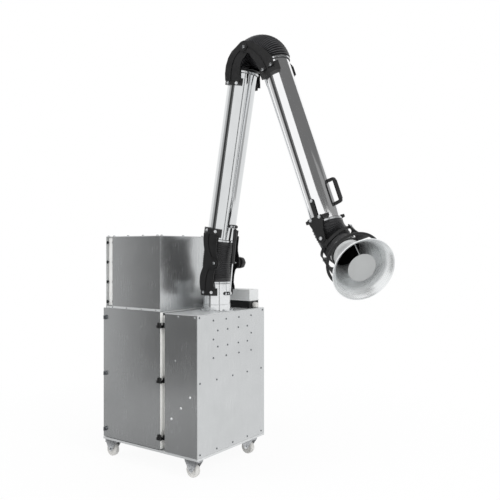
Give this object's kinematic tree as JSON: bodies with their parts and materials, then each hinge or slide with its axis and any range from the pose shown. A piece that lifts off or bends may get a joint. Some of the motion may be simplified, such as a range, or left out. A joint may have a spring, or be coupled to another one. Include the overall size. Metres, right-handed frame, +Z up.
{
  "type": "mobile fume extractor",
  "caption": "Wheeled filter cabinet with a fan box and a jointed extraction arm that ends in a swivelling hood.",
  "frame": {"origin": "on the floor under the middle of the cabinet", "axes": "+Z up, -Y to the door side, +X to the side that the arm reaches over"},
  "size_m": [1.7852, 0.6513, 2.4593],
  "materials": {
    "sheet_steel": "brushed sheet steel",
    "zinc_steel": "zinc-plated steel",
    "arm_tube": "bright drawn tube",
    "hood_metal": "spun and polished",
    "black_plastic": "moulded black plastic",
    "black_paint": "black enamel",
    "grey_paint": "grey powder coat",
    "white_nylon": "white nylon",
    "filter_media": "pleated filter paper",
    "hose_rubber": "ribbed black hose"
  },
  "bodies": {
    "cabinet": {"base_frame": "zinc_steel", "rear_shell": "sheet_steel", "side_panel": "sheet_steel", "front_panel": "sheet_steel", "partition": "sheet_steel", "arm_deck": "sheet_steel", "filter_deck": "sheet_steel", "hinge_frame_1": "black_plastic", "hinge_frame_2": "black_plastic", "hinge_frame_3": "black_plastic", "filter_cassette": "filter_media", "dust_tray": "zinc_steel", "fan_box": "sheet_steel", "fan_box_lid": "sheet_steel", "fan_motor": "grey_paint", "control_base": "black_plastic", "control_cover": "grey_paint", "inlet_spigot": "sheet_steel"},
    "door": {"door": "sheet_steel", "hinge_door_1": "black_plastic", "hinge_door_2": "black_plastic", "hinge_door_3": "black_plastic"},
    "latch_1": {"latch_1": "black_plastic"},
    "latch_2": {"latch_2": "black_plastic"},
    "latch_3": {"latch_3": "black_plastic"},
    "caster_1": {"caster_fork_1": "zinc_steel"},
    "caster_2": {"caster_fork_2": "zinc_steel"},
    "caster_3": {"caster_fork_3": "zinc_steel"},
    "caster_4": {"caster_fork_4": "zinc_steel"},
    "wheel_1": {"caster_wheel_1": "white_nylon"},
    "wheel_2": {"caster_wheel_2": "white_nylon"},
    "wheel_3": {"caster_wheel_3": "white_nylon"},
    "wheel_4": {"caster_wheel_4": "white_nylon"},
    "impeller": {"fan_impeller": "zinc_steel"},
    "swivel": {"swivel_tube": "arm_tube", "base_plate_near": "black_plastic", "base_plate_far": "black_plastic", "lower_hose": "hose_rubber"},
    "lower_arm": {"lower_tube": "arm_tube", "lower_plate_near": "black_plastic", "lower_plate_far": "black_plastic", "elbow_lower_near": "black_plastic", "elbow_lower_far": "black_plastic", "elbow_hose": "hose_rubber"},
    "knob": {"friction_knob": "black_plastic"},
    "gas_cylinder": {"gas_cylinder": "black_paint"},
    "gas_rod": {"gas_rod": "zinc_steel"},
    "upper_arm": {"upper_tube": "arm_tube", "elbow_upper_near": "black_plastic", "elbow_upper_far": "black_plastic", "tube_handle": "black_plastic", "hood_yoke_near": "black_plastic", "hood_yoke_far": "black_plastic", "hood_hose_upper": "hose_rubber"},
    "damper": {"damper": "zinc_steel"},
    "gimbal": {"gimbal_ring": "black_plastic", "hood_hose_lower": "hose_rubber"},
    "hood": {"hood_bell": "hood_metal", "baffle": "hood_metal", "ring_handle": "black_plastic"}
  },
  "joints": [
    {"name": "door_hinge", "type": "hinge", "parent": "cabinet", "child": "door", "pos_m": [0.108, -0.325, 0.521], "axis": [0, 0, 1], "range_deg": [0, 120]},
    {"name": "latch_turn_1", "type": "hinge", "parent": "door", "child": "latch_1", "pos_m": [-0.352, -0.3175, 0.85], "axis": [0, 1, 0], "range_deg": [0, 90]},
    {"name": "latch_turn_2", "type": "hinge", "parent": "door", "child": "latch_2", "pos_m": [-0.352, -0.3175, 0.513], "axis": [0, 1, 0], "range_deg": [0, 90]},
    {"name": "latch_turn_3", "type": "hinge", "parent": "door", "child": "latch_3", "pos_m": [-0.352, -0.3175, 0.178], "axis": [0, 1, 0], "range_deg": [0, 90]},
    {"name": "caster_swivel_1", "type": "hinge", "parent": "cabinet", "child": "caster_1", "pos_m": [-0.323, -0.258, 0.0995], "axis": [0, 0, 1], "continuous": true},
    {"name": "wheel_spin_1", "type": "hinge", "parent": "caster_1", "child": "wheel_1", "pos_m": [-0.353, -0.258, 0.04], "axis": [0, 1, 0], "continuous": true},
    {"name": "caster_swivel_2", "type": "hinge", "parent": "cabinet", "child": "caster_2", "pos_m": [-0.323, 0.258, 0.0995], "axis": [0, 0, 1], "continuous": true},
    {"name": "wheel_spin_2", "type": "hinge", "parent": "caster_2", "child": "wheel_2", "pos_m": [-0.353, 0.258, 0.04], "axis": [0, 1, 0], "continuous": true},
    {"name": "caster_swivel_3", "type": "hinge", "parent": "cabinet", "child": "caster_3", "pos_m": [0.323, -0.258, 0.0995], "axis": [0, 0, 1], "continuous": true},
    {"name": "wheel_spin_3", "type": "hinge", "parent": "caster_3", "child": "wheel_3", "pos_m": [0.293, -0.258, 0.04], "axis": [0, 1, 0], "continuous": true},
    {"name": "caster_swivel_4", "type": "hinge", "parent": "cabinet", "child": "caster_4", "pos_m": [0.323, 0.258, 0.0995], "axis": [0, 0, 1], "continuous": true},
    {"name": "wheel_spin_4", "type": "hinge", "parent": "caster_4", "child": "wheel_4", "pos_m": [0.293, 0.258, 0.04], "axis": [0, 1, 0], "continuous": true},
    {"name": "impeller_spin", "type": "hinge", "parent": "cabinet", "child": "impeller", "pos_m": [-0.1, 0, 1], "axis": [0, 0, 1], "continuous": true},
    {"name": "arm_swivel", "type": "hinge", "parent": "cabinet", "child": "swivel", "pos_m": [0.2545, 0, 0.939], "axis": [0, 0, 1], "range_deg": [-100, 60]},
    {"name": "lower_joint", "type": "hinge", "parent": "swivel", "child": "lower_arm", "pos_m": [0.317, 0, 1.18], "axis": [0, 1, 0], "range_deg": [-10, 45], "deforming": ["lower_hose"]},
    {"name": "knob_turn", "type": "hinge", "parent": "lower_arm", "child": "knob", "pos_m": [0.317, 0.127, 1.18], "axis": [0, 1, 0], "continuous": true},
    {"name": "cylinder_eye", "type": "hinge", "parent": "lower_arm", "child": "gas_cylinder", "pos_m": [0.391, 0, 1.38798], "axis": [0, 1, 0], "range_deg": [-27, 7]},
    {"name": "rod_eye", "type": "hinge", "parent": "swivel", "child": "gas_rod", "pos_m": [0.35, 0, 1.003], "axis": [0, 1, 0], "range_deg": [-8, 29]},
    {"name": "elbow_joint", "type": "hinge", "parent": "lower_arm", "child": "upper_arm", "pos_m": [0.526, 0, 2.375], "axis": [0, -1, 0], "range_deg": [-8, 100], "deforming": ["elbow_hose"]},
    {"name": "damper_turn", "type": "hinge", "parent": "upper_arm", "child": "damper", "pos_m": [0.9461, 0, 1.50679], "axis": [0, 1, 0], "range_deg": [0, 90]},
    {"name": "hood_tilt", "type": "hinge", "parent": "upper_arm", "child": "gimbal", "pos_m": [1.01716, 0, 1.3128], "axis": [0, 1, 0], "range_deg": [-20, 60], "deforming": ["hood_hose_upper"]},
    {"name": "hood_swing", "type": "hinge", "parent": "gimbal", "child": "hood", "pos_m": [1.049, 0, 1.29], "axis": [0.6532, 0, 0.7572], "range_deg": [-20, 60], "deforming": ["hood_hose_lower"]}
  ],
  "couplings": [
    {"joint": "rod_eye", "follows": "lower_joint", "ratio": 0.5625},
    {"joint": "cylinder_eye", "follows": "lower_joint", "ratio": -0.4375}
  ]
}
